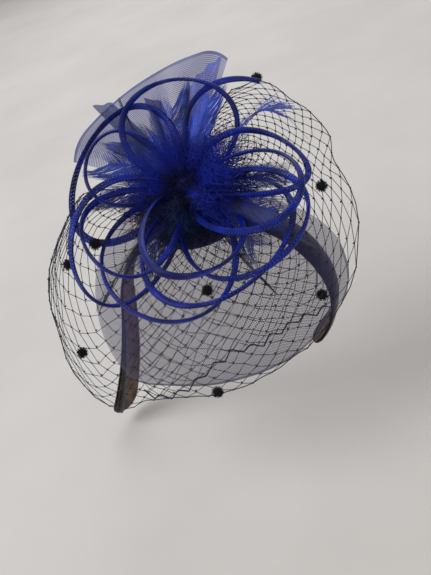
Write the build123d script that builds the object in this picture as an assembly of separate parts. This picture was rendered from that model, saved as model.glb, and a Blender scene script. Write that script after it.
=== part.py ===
"""Fascinator headpiece: a flower of tubular crin loops, feathers, crin sheets and a net veil on a padded headband.

Millimetres. Origin at the centre of the headband's crown arc, +Z up through the crown, -Y towards the wearer's face,
+X towards the side that the flower leans to.
"""
from build123d import *
from math import asin, cos, degrees, pi, radians, sin
import os

# --- headband -------------------------------------------------------------------------------------------------
crown_radius = 68.0        # mid-line of the band's core over the crown
band_width = 25.0
core_thickness = 1.6
cover_thickness = 1.3      # padded satin on the outside
lining_thickness = 0.9     # felt ribbon on the inside
core_inset = 1.2           # the core stops short of the cover's edges
hinge_angle = 40.0         # where the sprung arms start, from the crown to each side
arm_gap = 0.35             # slit between crown and arm pieces
left_bend_end = 73.0       # the left arm leaves the crown's arc here
left_leg_radius = -412.0   # and flares gently outwards, so its radius is negative
left_leg_length = 103.0
right_bend_end = 77.0      # the right arm leaves the crown's arc here
right_leg_radius = 45.0    # and hooks in under the head
right_leg_length = 57.0

# --- base under the flower ------------------------------------------------------------------------------------
base_gap = 1.6             # between the band's cover and the felt
felt_thickness = 1.2
buckram_thickness = 1.4
base_spread = 20.0         # half angle of the dished base
flower_rise = 21.0         # the flower's centre above the crown's mid-line
hub_side = 7.0
hub_front = 13.0
stem_radius = 7.0
knot_radius = 10.0
binding_radius = 0.7
binding_turns = 3
puff_radius = 12.0

# --- flower ---------------------------------------------------------------------------------------------------
flower_tilt = 35.0         # the flower's axis leans forward from straight up
tube_radius = 2.2          # tubular crin, stuffed round by its own spring
loop_foot = 0.2            # radians of the loop's outline left out at the crushed ends
loop_points = 17
loop_start = 6.0           # the ends are stitched this far out from the hub
leg_gap = 1.0              # clear space left between a loop's two crushed ends

# name: heading (from +X, counter-clockwise seen from the front), rise, roll, reach, width, point, lean
LOOPS = {
    "top": (85, 32, 7, 61, 70, 0.3, 0.02),
    "upper_left_outer": (159, 16, -3, 67, 95, 0.5, 0.04),
    "upper_left_inner": (164, 34, 16, 59, 66, 1.2, -0.03),
    "right_upper": (6, 33, 17, 85, 39, 0.5, -0.38),
    "right_middle": (333, 30, 2, 105, 45, 0.2, -0.06),
    "right_lower": (313, 17, 4, 93, 70, 0.4, 0.10),
    "front_inner": (295, 28, -39, 96, 49, 0.0, -0.19),
    "front_right": (306, 8, -20, 81, 86, 0.0, -0.22),
    "left_outer": (216, 23, -25, 80, 67, 0.5, 0.23),
    "left_inner": (224, 33, -3, 74, 70, 1.0, 0.21),
    "front_left": (255, 15, -4, 86, 80, 0.2, 0.18),
}
# the same for one loose tube that ends where a loop would turn back
TUBE_END = (63, 15, 22, 69, 62, 1.8, -0.29)

# name: heading, rise, length, width
FEATHERS = {
    "coque_feather_right": (40, 10, 76, 9),
    "coque_feather_tip": (328, 0, 86, 8),
    "coque_feather_front": (226, 5, 84, 7),
    "coque_feather_quill": (304, 6, 98, 4),
    "coque_feather_left": (166, 10, 66, 8),
    "coque_feather_back": (130, 10, 80, 6),
    "goose_vane_top": (103, 12, 66, 26),
    "goose_vane_back": (74, 8, 64, 20),
    "goose_vane_left": (149, 14, 66, 22),
    "goose_vane_right": (335, 6, 70, 22),
    "goose_vane_front": (318, 4, 70, 22),
    "goose_vane_low": (238, 8, 58, 20),
    "goose_vane_left_low": (171, 5, 60, 16),
    "goose_vane_right_high": (0, 4, 60, 18),
    "goose_vane_top_left": (126, 15, 58, 18),
}
feather_thickness = 0.8

# name: heading, rise, length, width
TAILS = {"crin_tail_left": (129, 8, 83, 11), "crin_tail_top": (107, 12, 61, 9)}
tail_thickness = 0.8

# --- sheets ---------------------------------------------------------------------------------------------------
sheet_thickness = 0.8
drape_side = -5.0          # centre that the skirt and the veil are draped about
drape_back = 10.0
drape_drop = 83.0          # below the flower's centre
skirt_radius = 81.0
skirt_hem_angle = 88.0     # from the drape's axis
skirt_turn = (-166, -4)    # headings of its two side edges
veil_radius = 89.0
neck_drop = 6.5            # the sheets are gathered this far below the hub
neck_angle = 32.0          # and reach their full radius here
veil_hem_angle = 83.0
veil_turn = (-176, -8)
veil_cord_radius = 0.6
dot_radius = 3.3
face_clearance = 14.5      # the drapes stay this far in front of the band's middle plane
fan_rise = -5.0
fan_radius = 98.0
fan_turn = (76, 149)
ruffle_rise = -8.0
ruffle_radius = 86.0
ruffle_turn = (-24, 66)
gather_radius = 8.0        # every sheet starts this far from the stem's axis

# heading and angle down from the drape's axis
VEIL_DOTS = ((-32, 64), (-77, 42), (-83, 79), (-135, 72), (-151, 47), (-142, 35))
# heading and distance from the hub on the ruffle
RUFFLE_DOTS = ((60, 81), (-8, 76))

os.makedirs("parts", exist_ok=True)
HUB = Vector(hub_side, -hub_front, crown_radius + flower_rise)
DRAPE = Vector(drape_side, drape_back, HUB.Z - drape_drop)
core_inner = crown_radius - core_thickness / 2
core_outer = crown_radius + core_thickness / 2
cover_outer = core_outer + cover_thickness
lining_inner = core_inner - lining_thickness
in_front = Pos(0, -face_clearance - 200, 0) * Box(800, 400, 800)


def save(name, shape):
    """Writes one node, with its name on it."""
    shape.label = name
    export_step(shape, f"parts/{name}.step")
    print(name, round(shape.volume, 1))


def along(heading, rise):
    """Unit vector from the hub, in the tilted flower's own bearings."""
    side, back = Vector(1, 0, 0), Vector(0, cos(radians(flower_tilt)), sin(radians(flower_tilt)))
    axis = side.cross(back)
    level = side * cos(radians(heading)) + back * sin(radians(heading))
    return level * cos(radians(rise)) + axis * sin(radians(rise))


def across(heading):
    """Unit vector to the left of a heading, level with the flower."""
    return along(heading + 90, 0)


# --- headband -------------------------------------------------------------------------------------------------
def on_arc(centre, radius, angle):
    """A point in the band's plane, at an angle from straight up."""
    return Vector(centre[0] + radius * sin(radians(angle)), 0, centre[1] + radius * cos(radians(angle)))


def bow(centre, radius, start, end, inner, outer, width):
    """A curved strip: the band's section swept round an arc. inner and outer are measured from the crown's mid-line."""
    section = Pos(radius + (inner + outer) / 2, 0, 0) * Rot(90, 0, 0) * Rectangle(outer - inner, width)
    ring = revolve(section, Axis.Z, end - start)
    return Pos(centre[0], 0, centre[1]) * Rot(90, 0, 0) * Rot(0, 0, 90 - end) * ring


def round_tip(strip, centre, radius, end, way, width, inset):
    """Cuts an arm's far end to a half round. way is 1 where the tip lies at the larger angle and -1 elsewhere."""
    middle_angle = end - way * degrees((width / 2 + inset) / radius)
    middle = on_arc(centre, radius, middle_angle)
    facing = Plane(origin=middle, x_dir=(0, 1, 0), z_dir=on_arc((0, 0), 1, middle_angle))
    disc = facing * Cylinder(width / 2, 40)
    shoulder = facing * Pos(0, way * 100, 0) * Box(width * 2, 200, 400)
    return strip & (disc + shoulder)


def arm(bend_end, leg_radius, leg_length, inner, outer, width):
    """One arm on the +X side: on round the crown's arc, then a leg that hooks in, or flares if its radius is negative."""
    inset = (band_width - width) / 2
    size = abs(leg_radius)
    turn = degrees(leg_length / size)
    heart = on_arc((0, 0), crown_radius - leg_radius, bend_end)
    centre = (heart.X, heart.Z)
    bend = bow((0, 0), crown_radius, hinge_angle + slit, bend_end, inner, outer, width)
    if leg_radius > 0:
        leg = bow(centre, size, bend_end, bend_end + turn, inner, outer, width)
        leg = round_tip(leg, centre, size, bend_end + turn, 1, width, inset)
    else:
        leg = bow(centre, size, bend_end + 180 - turn, bend_end + 180, -outer, -inner, width)
        leg = round_tip(leg, centre, size, bend_end + 180 - turn, -1, width, inset)
    return bend + leg


layers = {
    "core": (core_inner - crown_radius, core_outer - crown_radius, band_width - 2 * core_inset),
    "cover": (core_outer - crown_radius, cover_outer - crown_radius, band_width),
    "lining": (lining_inner - crown_radius, core_inner - crown_radius, band_width - core_inset),
}
slit = degrees(arm_gap / crown_radius)
for layer, size in layers.items():
    save(f"band_{layer}_crown", bow((0, 0), crown_radius, -hinge_angle, hinge_angle, *size))
    save(f"band_{layer}_right", arm(right_bend_end, right_leg_radius, right_leg_length, *size))
    left = arm(left_bend_end, left_leg_radius, left_leg_length, *size)
    save(f"band_{layer}_left", mirror(left, about=Plane.YZ))

# --- base, stem and knot --------------------------------------------------------------------------------------
base_axis = HUB.normalized()
base_plane = Plane(origin=(0, 0, 0), z_dir=base_axis)


def dish(inner, outer, spread):
    """A round dished sheet between two spheres about the origin."""
    half = Rot(90, 0, 0) * (Circle(outer) - Circle(inner))
    wedge = Rot(90, 0, 0) * Polygon((0, 0), (outer * 3 * sin(radians(spread)), outer * 3 * cos(radians(spread))),
                                    (0, outer * 3), align=None)
    return base_plane * revolve(half & wedge, Axis.Z, 360)


felt_inner = cover_outer + base_gap
buckram_inner = felt_inner + felt_thickness
buckram_outer = buckram_inner + buckram_thickness
save("base_felt", dish(felt_inner, buckram_inner, base_spread))
save("base_buckram", dish(buckram_inner, buckram_outer, base_spread + 1))
stem_foot = buckram_outer + 0.3
stem_top = HUB.length - knot_radius * 0.8
save("stem", base_plane * Pos(0, 0, (stem_foot + stem_top) / 2) * Cylinder(stem_radius, stem_top - stem_foot))
save("flower_knot", Pos(*HUB) * Sphere(knot_radius))
turns = [base_plane * Pos(0, 0, stem_foot + 1.2 + i * 2.2 * binding_radius) * Torus(stem_radius + binding_radius,
                                                                                    binding_radius)
         for i in range(binding_turns)]
save("stem_binding", Compound(turns))
strap_plane = [Rot(0, side * 14, 0) for side in (-1, 1)]
straps = [p * Pos(0, 0, cover_outer + base_gap / 2) * Box(5, band_width + 4, base_gap) for p in strap_plane]
save("band_stitches", Compound(straps))
puff_centre = HUB + along(0, 90) * (knot_radius + puff_radius * 0.55)
save("marabou_puff", Pos(*puff_centre) * Sphere(puff_radius))


# --- tubular crin loops ---------------------------------------------------------------------------------------
def loop_path(heading, rise, roll, reach, width, point, lean, last=2 * pi - loop_foot):
    """Points of a teardrop outline that leaves the hub, goes out to its reach and, at twice pi, comes back."""
    out = along(heading, rise)
    side = across(heading)
    up = out.cross(side)
    cross = side * cos(radians(roll)) + up * sin(radians(roll))
    steps = [loop_foot + (last - loop_foot) * i / (loop_points - 1) for i in range(loop_points)]
    points = []
    for t in steps:
        x = loop_start + (reach - loop_start) * (1 - cos(t)) / 2
        apart = (tube_radius + leg_gap / 2) * cos(t / 2)
        y = width / 2 * sin(t) * abs(sin(t / 2)) ** point + apart + lean * x * x / reach
        points.append(HUB + out * x + cross * y)
    return points


def rounded(points):
    """Straight runs joined by arcs as large as the runs allow."""
    radii = []
    for a, b, c in zip(points, points[1:], points[2:]):
        turn = radians((b - a).get_angle(c - b))
        radii.append(0.45 * min((b - a).length, (c - b).length) / (sin(turn / 2) / cos(turn / 2)))
    return FilletPolyline(*points, radius=radii)


def tube(path, radius):
    """A round tube along a path."""
    return sweep(Plane(origin=path @ 0, z_dir=path % 0) * Circle(radius), path=path)


for name, shape in LOOPS.items():
    save(f"crin_loop_{name}", tube(rounded(loop_path(*shape)), tube_radius))
save("crin_tube_end", tube(rounded(loop_path(*TUBE_END, last=pi)), tube_radius))


# --- feathers and ribbon tails --------------------------------------------------------------------------------
def leaf(length, width):
    """A lens outline from two arcs, pointing along +X from its quill end."""
    tip, belly = (length, 0), length * 0.55
    upper = ThreePointArc((0, 0), (belly, width / 2), tip)
    lower = ThreePointArc(tip, (belly, -width / 2), (0, 0))
    return make_face(upper + lower)


def strip(length, width):
    """A ribbon tail with a slanted end."""
    return Polygon((0, -width * 0.2), (length, -width / 2), (length * 0.94, width / 2), (0, width * 0.2), align=None)


def placed(outline, heading, rise, start, thickness):
    """Lays a flat outline on the flower, from start millimetres out."""
    out = along(heading, rise)
    plane = Plane(origin=HUB + out * start, x_dir=out, z_dir=out.cross(across(heading)))
    return plane * extrude(outline, thickness / 2, both=True)


for name, (heading, rise, length, width) in FEATHERS.items():
    save(name, placed(leaf(length, width), heading, rise, gather_radius, feather_thickness))
for name, (heading, rise, length, width) in TAILS.items():
    save(name, placed(strip(length, width), heading, rise, gather_radius, tail_thickness))


# --- crin sheets and veil -------------------------------------------------------------------------------------
drape_axis = (HUB - DRAPE).normalized()
drape_plane = Plane(origin=DRAPE, x_dir=Vector(1, 0, 0) - drape_axis * drape_axis.X, z_dir=drape_axis)


def drape(radius, thickness, hem_angle, turn):
    """Part of a spherical shell about the drape's centre, from the gathers down to a hem."""
    neck = (HUB - DRAPE).length - neck_drop - (veil_radius - radius) * 0.5
    start = degrees(asin(gather_radius / neck))
    half = (start + neck_angle) / 2
    rows = ((start, neck), (half, (neck + radius) / 2), (neck_angle, radius),
            ((neck_angle + hem_angle) / 2, radius), (hem_angle, radius))
    outer, inner = [[((r + t) * sin(radians(a)), (r + t) * cos(radians(a))) for a, r in rows] for t in (thickness, 0)]
    edge = (ThreePointArc(*outer[:3]) + ThreePointArc(*outer[2:]) + Line(outer[4], inner[4])
            + ThreePointArc(*inner[:1:-1]) + ThreePointArc(*inner[2::-1]) + Line(inner[0], outer[0]))
    section = Rot(90, 0, 0) * make_face(edge)
    shell = Rot(0, 0, turn[0]) * revolve(section, Axis.Z, turn[1] - turn[0])
    return (drape_plane * shell) & in_front


def on_drape(radius, heading, angle):
    """A point on the drape."""
    flat = Vector(cos(radians(heading)), sin(radians(heading)), 0) * (radius * sin(radians(angle)))
    return drape_plane.from_local_coords(flat + Vector(0, 0, radius * cos(radians(angle))))


def fan(radius, rise, turn, thickness):
    """A sector of a shallow cone about the flower's axis."""
    section = Rot(90, 0, 0) * Rot(0, 0, rise) * Pos((radius + gather_radius) / 2, 0) * Rectangle(
        radius - gather_radius, thickness)
    sector = Rot(0, 0, turn[0]) * revolve(section, Axis.Z, turn[1] - turn[0])
    return Plane(origin=HUB, x_dir=(1, 0, 0), z_dir=along(0, 90)) * sector


save("crin_skirt", drape(skirt_radius, sheet_thickness, skirt_hem_angle, skirt_turn))
save("veil_drape", drape(veil_radius, sheet_thickness, veil_hem_angle, veil_turn))
save("crin_fan", fan(fan_radius, fan_rise, fan_turn, sheet_thickness))
save("veil_ruffle", fan(ruffle_radius, ruffle_rise, ruffle_turn, sheet_thickness))

cord_ring = veil_radius + sheet_thickness + veil_cord_radius
facing = [h for h in range(*veil_turn) if on_drape(cord_ring, h, veil_hem_angle).Y < -face_clearance - veil_cord_radius]
cord_section = Pos(cord_ring * sin(radians(veil_hem_angle)), 0, 0) * Rot(90, 0, 0) * Circle(veil_cord_radius)
cord = Rot(0, 0, facing[0]) * revolve(cord_section, Axis.Z, facing[-1] - facing[0])
save("veil_hem_cord", drape_plane * Pos(0, 0, cord_ring * cos(radians(veil_hem_angle))) * cord)

dots = [Pos(*on_drape(veil_radius + dot_radius, *place)) * Sphere(dot_radius) for place in VEIL_DOTS]
dots += [Pos(*(HUB + along(heading, ruffle_rise) * reach + along(0, 90) * dot_radius)) * Sphere(dot_radius)
         for heading, reach in RUFFLE_DOTS]
save("veil_dots", Compound(dots))
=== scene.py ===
"""Looks of a fascinator headpiece: tubular crin loops, crin sheets, feathers, marabou and a net veil on a headband.

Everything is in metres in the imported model's frame. Sizes in the classes are millimetres and are turned to metres
by MM. Directions on the flower are a heading, counter-clockwise from +X as the flower is seen from its front, and a
rise out of the flower's own tilted plane.
"""

import logging
import math
import random
from dataclasses import dataclass, field
from enum import Enum
from typing import Callable, Iterable, Sequence

import bmesh
import bpy
from mathutils import Matrix, Vector, noise


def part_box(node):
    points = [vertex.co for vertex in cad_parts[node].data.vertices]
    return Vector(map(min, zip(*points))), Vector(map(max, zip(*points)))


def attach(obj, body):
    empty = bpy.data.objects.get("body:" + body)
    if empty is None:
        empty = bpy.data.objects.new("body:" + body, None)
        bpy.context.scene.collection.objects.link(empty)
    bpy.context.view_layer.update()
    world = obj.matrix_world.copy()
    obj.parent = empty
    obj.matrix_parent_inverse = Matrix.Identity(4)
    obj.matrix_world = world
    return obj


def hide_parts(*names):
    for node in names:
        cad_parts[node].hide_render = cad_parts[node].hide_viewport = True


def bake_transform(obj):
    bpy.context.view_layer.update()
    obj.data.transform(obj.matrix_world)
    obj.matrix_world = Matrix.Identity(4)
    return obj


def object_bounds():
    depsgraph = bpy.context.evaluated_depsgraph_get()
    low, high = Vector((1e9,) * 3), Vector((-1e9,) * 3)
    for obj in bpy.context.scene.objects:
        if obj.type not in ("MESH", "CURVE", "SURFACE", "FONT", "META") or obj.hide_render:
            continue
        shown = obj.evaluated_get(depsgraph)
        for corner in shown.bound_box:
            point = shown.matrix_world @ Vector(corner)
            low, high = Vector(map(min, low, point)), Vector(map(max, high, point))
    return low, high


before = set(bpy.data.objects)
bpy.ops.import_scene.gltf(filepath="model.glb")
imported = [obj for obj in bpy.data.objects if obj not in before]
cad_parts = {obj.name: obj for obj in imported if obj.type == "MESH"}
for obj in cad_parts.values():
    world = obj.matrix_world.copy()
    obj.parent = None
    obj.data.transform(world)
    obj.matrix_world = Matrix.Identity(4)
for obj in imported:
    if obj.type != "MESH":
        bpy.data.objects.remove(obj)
CAD_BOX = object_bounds()
LOG = logging.getLogger("fascinator")

MM = 0.001
FLOWER_TILT = 35.0           # the flower's axis leans forward from straight up
CROWN_RADIUS = 68.0          # the headband's mid-line over the crown
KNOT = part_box("flower_knot")
HUB = (KNOT[0] + KNOT[1]) / 2
DRAPE = HUB + Vector((-12.0, 23.0, -83.0)) * MM   # centre that the skirt and the veil are draped about


# --- small tools ---------------------------------------------------------------------------------------------
def srgb(code: str) -> tuple[float, float, float, float]:
    """Turns an sRGB hex colour to the linear colour that the shaders read.

    Args:
        code: six hex digits, with or without a leading #.

    Returns:
        Linear red, green, blue and an alpha of 1.
    """
    parts = [int(code.lstrip("#")[i:i + 2], 16) / 255 for i in (0, 2, 4)]
    line = [p / 12.92 if p <= 0.04045 else ((p + 0.055) / 1.055) ** 2.4 for p in parts]
    return (line[0], line[1], line[2], 1.0)


def smooth(low: float, high: float, value: float) -> float:
    """Goes from 0 at low to 1 at high with level ends."""
    t = max(0.0, min(1.0, (value - low) / (high - low)))
    return t * t * (3 - 2 * t)


def mix(a: float, b: float, t: float) -> float:
    """Straight blend from a to b."""
    return a + (b - a) * t


def bearing(heading: float, rise: float = 0.0) -> Vector:
    """Unit vector for a heading and a rise on the tilted flower, both in degrees."""
    tilt = math.radians(FLOWER_TILT)
    side = Vector((1.0, 0.0, 0.0))
    back = Vector((0.0, math.cos(tilt), math.sin(tilt)))
    h, r = math.radians(heading), math.radians(rise)
    level = side * math.cos(h) + back * math.sin(h)
    return level * math.cos(r) + side.cross(back) * math.sin(r)


def drape_axes() -> tuple[Vector, Vector, Vector]:
    """Side, back and up of the draped sheets, with up through the flower's hub."""
    up = (HUB - DRAPE).normalized()
    side = (Vector((1.0, 0.0, 0.0)) - up * up.x).normalized()
    return side, up.cross(side), up


def on_drape(heading: float, angle: float, radius: float) -> Vector:
    """A point over the head.

    Args:
        heading: degrees round the drape's axis.
        angle: degrees down from the axis.
        radius: millimetres from the drape's centre.

    Returns:
        The point in metres.
    """
    side, back, up = drape_axes()
    h, a = math.radians(heading), math.radians(angle)
    level = side * math.cos(h) + back * math.sin(h)
    return DRAPE + (level * math.sin(a) + up * math.cos(a)) * radius * MM


def ripple(point: Vector, scale: float, seed: float = 0.0) -> float:
    """Smooth noise from -1 to 1 whose lumps are about scale millimetres across."""
    return noise.noise(point / (scale * MM) + Vector((seed, seed * 1.7, -seed)))


def link(mesh: bpy.types.Mesh, name: str, finish: bpy.types.Material, shade_smooth: bool = True) -> bpy.types.Object:
    """Puts a mesh in the scene as one named piece with one material."""
    piece = bpy.data.objects.new(name, mesh)
    bpy.context.scene.collection.objects.link(piece)
    mesh.materials.clear()
    mesh.materials.append(finish)
    if shade_smooth:
        mesh.shade_smooth()
    return piece


def mesh_of(form: bmesh.types.BMesh, name: str) -> bpy.types.Mesh:
    """Turns a finished bmesh to mesh data."""
    mesh = bpy.data.meshes.new(name)
    form.to_mesh(mesh)
    form.free()
    return mesh


def cloth_grid(name: str, across: int, down: int, place: Callable[[float, float], Vector],
               closed: bool = False) -> bpy.types.Mesh:
    """Lays a grid over a surface, with the surface's own u and v as its UV map.

    Args:
        name: name of the mesh.
        across: faces along u.
        down: faces along v.
        place: gives the point for u and v, each from 0 to 1.
        closed: True where u = 0 and u = 1 meet, as round a tube.

    Returns:
        The mesh.
    """
    form = bmesh.new()
    form.loops.layers.uv.verify()
    bmesh.ops.create_grid(form, x_segments=across, y_segments=down, size=0.5, calc_uvs=True)
    for vert in form.verts:
        vert.co = place(vert.co.x + 0.5, vert.co.y + 0.5)
    if closed:
        bmesh.ops.remove_doubles(form, verts=form.verts, dist=1e-6)
        bmesh.ops.recalc_face_normals(form, faces=form.faces)
    return mesh_of(form, name)


def threads(name: str, runs: Iterable[Sequence[Vector]], thickness: float, sides: int = 1,
            taper: Callable[[float], float] | None = None) -> bpy.types.Mesh:
    """Makes many fine round threads as one mesh.

    Args:
        name: name of the mesh.
        runs: each thread's points.
        thickness: millimetres across.
        sides: bevel resolution of the round section.
        taper: thickness share along a thread, from its root at 0 to its tip at 1.

    Returns:
        The mesh of all the threads.
    """
    curve = bpy.data.curves.new(name, "CURVE")
    curve.dimensions = "3D"
    curve.bevel_depth = thickness / 2 * MM
    curve.bevel_resolution = sides
    curve.use_fill_caps = True
    for run in runs:
        spline = curve.splines.new("POLY")
        spline.points.add(len(run) - 1)
        for i, (point, at) in enumerate(zip(spline.points, run)):
            point.co = (*at, 1.0)
            point.radius = taper(i / (len(run) - 1)) if taper else 1.0
    holder = bpy.data.objects.new(name, curve)
    bpy.context.scene.collection.objects.link(holder)
    made = bpy.data.meshes.new_from_object(holder.evaluated_get(bpy.context.evaluated_depsgraph_get()))
    bpy.data.objects.remove(holder)
    bpy.data.curves.remove(curve)
    made.name = name
    return made


# --- finishes ------------------------------------------------------------------------------------------------
def add(tree: bpy.types.NodeTree, kind: str, settings: dict | None = None, links: dict | None = None) -> bpy.types.Node:
    """Adds one shader node.

    Args:
        tree: the material's node tree.
        kind: the node's type name.
        settings: properties by name, or input values by number or by name.
        links: input number or name to the output that feeds it.

    Returns:
        The node.
    """
    node = tree.nodes.new(kind)
    for key, value in (settings or {}).items():
        if isinstance(key, str) and hasattr(node, key):
            setattr(node, key, value)
        else:
            node.inputs[key].default_value = value
    for key, source in (links or {}).items():
        tree.links.new(source, node.inputs[key])
    return node


@dataclass(frozen=True)
class Finish:
    """A surface whose colour wanders between two tones, with grain in its bump.

    The grain is noise of grain_mm, drawn no finer than the picture can show.
    """

    name: str
    light: str
    dark: str
    roughness: float = 0.6
    sheen: float = 0.0
    patch_mm: float = 14.0
    grain_mm: float = 0.6
    bump: float = 0.25
    specular: float = 0.4

    def material(self) -> bpy.types.Material:
        """Builds the material once and hands it out again after that."""
        made = bpy.data.materials.get(self.name)
        if made:
            return made
        made = bpy.data.materials.new(self.name)
        made.use_nodes = True
        tree = made.node_tree
        shader = tree.nodes["Principled BSDF"]
        shader.inputs["Specular IOR Level"].default_value = self.specular
        shader.inputs["Roughness"].default_value = self.roughness
        shader.inputs["Sheen Weight"].default_value = self.sheen
        shader.inputs["Sheen Tint"].default_value = srgb(self.light)
        self.dress(tree, shader)
        return made

    def dress(self, tree: bpy.types.NodeTree, shader: bpy.types.Node) -> None:
        """Feeds the shader's colour and bump."""
        place = add(tree, "ShaderNodeTexCoord").outputs["Object"]
        patch = add(tree, "ShaderNodeTexNoise", {"Scale": 1 / (self.patch_mm * MM), "Detail": 5.0}, {"Vector": place})
        tone = add(tree, "ShaderNodeMix", {"data_type": "RGBA", 6: srgb(self.dark), 7: srgb(self.light)},
                   {0: self.contrast(tree, patch.outputs["Fac"])})
        tree.links.new(tone.outputs[2], shader.inputs["Base Color"])
        grain = add(tree, "ShaderNodeTexNoise", {"Scale": 1 / (self.grain_mm * MM), "Detail": 3.0}, {"Vector": place})
        relief = add(tree, "ShaderNodeBump", {"Strength": self.bump, "Distance": self.grain_mm * MM * 0.5},
                     {"Height": grain.outputs["Fac"]})
        tree.links.new(relief.outputs["Normal"], shader.inputs["Normal"])

    @staticmethod
    def contrast(tree: bpy.types.NodeTree, source: bpy.types.NodeSocket) -> bpy.types.NodeSocket:
        """Stretches noise from its narrow middle to the whole of 0 to 1."""
        return add(tree, "ShaderNodeMapRange", {1: 0.32, 2: 0.68}, {0: source}).outputs[0]


@dataclass(frozen=True)
class BraidedCrin(Finish):
    """Nylon crin: two families of fine threads braided on the bias, clear between the threads.

    The thread counts are along the piece's own UV. Light shows through the gaps, and more threads overlap where the
    braid turns edge-on, so hems are drawn more opaque; along a flattened tube's folded edges the colour is also
    darkened as painted shade.
    """

    count_u: float = 10.0
    count_v: float = 100.0
    thread_share: float = 0.45
    veil_alpha: float = 0.35
    edge_from: float = 2.0
    edge_alpha: float = 0.9
    # darkening of a flattened tube's folded edges, as painted shade
    fold_shade: float = 0.0
    ticks: float = 0.0

    def dress(self, tree: bpy.types.NodeTree, shader: bpy.types.Node) -> None:
        """Draws the crossed threads in colour, bump and alpha."""
        coords = add(tree, "ShaderNodeTexCoord")
        split = add(tree, "ShaderNodeSeparateXYZ", None, {0: coords.outputs["UV"]})
        u = add(tree, "ShaderNodeMath", {"operation": "MULTIPLY", 1: self.count_u}, {0: split.outputs[0]}).outputs[0]
        v = add(tree, "ShaderNodeMath", {"operation": "MULTIPLY", 1: self.count_v}, {0: split.outputs[1]}).outputs[0]
        strands = []
        for way in ("ADD", "SUBTRACT"):
            phase = add(tree, "ShaderNodeMath", {"operation": way}, {0: u, 1: v})
            wave = add(tree, "ShaderNodeMath", {"operation": "PINGPONG", 1: 0.5}, {0: phase.outputs[0]})
            half = self.thread_share * 0.5
            strands.append(add(tree, "ShaderNodeMapRange", {1: half, 2: half - 0.12},
                               {0: wave.outputs[0]}).outputs[0])
        cover = add(tree, "ShaderNodeMath", {"operation": "MAXIMUM"}, {0: strands[0], 1: strands[1]}).outputs[0]
        cross = add(tree, "ShaderNodeMath", {"operation": "MULTIPLY"}, {0: strands[0], 1: strands[1]}).outputs[0]
        patch = add(tree, "ShaderNodeTexNoise", {"Scale": 1 / (self.patch_mm * MM), "Detail": 3.0},
                    {"Vector": coords.outputs["Object"]})
        shade = add(tree, "ShaderNodeMath", {"operation": "MULTIPLY_ADD", 1: 0.45},
                    {0: cross, 2: self.contrast(tree, patch.outputs["Fac"])})
        shade = self.paint_fold_shade(tree, shade.outputs[0], split.outputs[0])
        shade = self.darken_rows(tree, shade, v)
        tone = add(tree, "ShaderNodeMix", {"data_type": "RGBA", 6: srgb(self.dark), 7: srgb(self.light)}, {0: shade})
        tree.links.new(tone.outputs[2], shader.inputs["Base Color"])
        alpha = add(tree, "ShaderNodeMapRange", {1: 0.0, 2: 1.0, 3: self.veil_alpha, 4: 1.0}, {0: cover}).outputs[0]
        if self.edge_from < 1.0:
            hem = add(tree, "ShaderNodeMapRange", {1: self.edge_from - 0.004, 2: self.edge_from, 4: self.edge_alpha},
                      {0: split.outputs[1]})
            alpha = add(tree, "ShaderNodeMath", {"operation": "MAXIMUM"}, {0: alpha, 1: hem.outputs[0]}).outputs[0]
        tree.links.new(alpha, shader.inputs["Alpha"])
        relief = add(tree, "ShaderNodeBump", {"Strength": self.bump, "Distance": 0.25 * MM}, {"Height": cover})
        tree.links.new(relief.outputs["Normal"], shader.inputs["Normal"])

    def darken_rows(self, tree: bpy.types.NodeTree, shade: bpy.types.NodeSocket,
                    v: bpy.types.NodeSocket) -> bpy.types.NodeSocket:
        """Darkens the gap between one row of crossings and the next, like a ladder."""
        if not self.ticks:
            return shade
        row = add(tree, "ShaderNodeMath", {"operation": "PINGPONG", 1: 0.5}, {0: v}).outputs[0]
        keep = add(tree, "ShaderNodeMapRange", {1: 0.10, 2: 0.24, 3: 1 - self.ticks, 4: 1.0}, {0: row}).outputs[0]
        return add(tree, "ShaderNodeMath", {"operation": "MULTIPLY"}, {0: shade, 1: keep}).outputs[0]

    def paint_fold_shade(self, tree: bpy.types.NodeTree, shade: bpy.types.NodeSocket,
                     u: bpy.types.NodeSocket) -> bpy.types.NodeSocket:
        """Paints shade along the two folded edges of a flattened tube, which lie at u = 0 and u = 0.5."""
        if not self.fold_shade:
            return shade
        away = add(tree, "ShaderNodeMath", {"operation": "PINGPONG", 1: 0.25}, {0: u}).outputs[0]
        keep = add(tree, "ShaderNodeMapRange", {1: 0.03, 2: 0.12, 3: 1 - self.fold_shade, 4: 1.0}, {0: away}).outputs[0]
        return add(tree, "ShaderNodeMath", {"operation": "MULTIPLY"}, {0: shade, 1: keep}).outputs[0]


@dataclass(frozen=True)
class WovenSatin(Finish):
    """Satin ribbon: long floats across the band, so it shines in a soft bar and shows faint ribs."""

    ribs: float = 260.0

    def dress(self, tree: bpy.types.NodeTree, shader: bpy.types.Node) -> None:
        """Adds ribs across the ribbon to the wandering colour."""
        super().dress(tree, shader)
        coords = add(tree, "ShaderNodeTexCoord")
        split = add(tree, "ShaderNodeSeparateXYZ", None, {0: coords.outputs["UV"]})
        rib = add(tree, "ShaderNodeMath", {"operation": "MULTIPLY", 1: self.ribs}, {0: split.outputs[1]})
        wave = add(tree, "ShaderNodeMath", {"operation": "PINGPONG", 1: 0.5}, {0: rib.outputs[0]})
        relief = add(tree, "ShaderNodeBump", {"Strength": self.bump, "Distance": 0.2 * MM}, {"Height": wave.outputs[0]})
        tree.links.new(relief.outputs["Normal"], shader.inputs["Normal"])


# Royal blue nylon braid with a wet-looking shine, with painted shade along the folded edges of each flattened tube.
TUBE_CRIN = BraidedCrin("tubular_crin_braided_nylon", "#0a2aac", "#030840", roughness=0.42, bump=0.7, patch_mm=13,
                        count_u=4, count_v=120, thread_share=0.6, veil_alpha=0.5, fold_shade=0.9, ticks=0.75,
                        specular=0.25)
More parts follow.
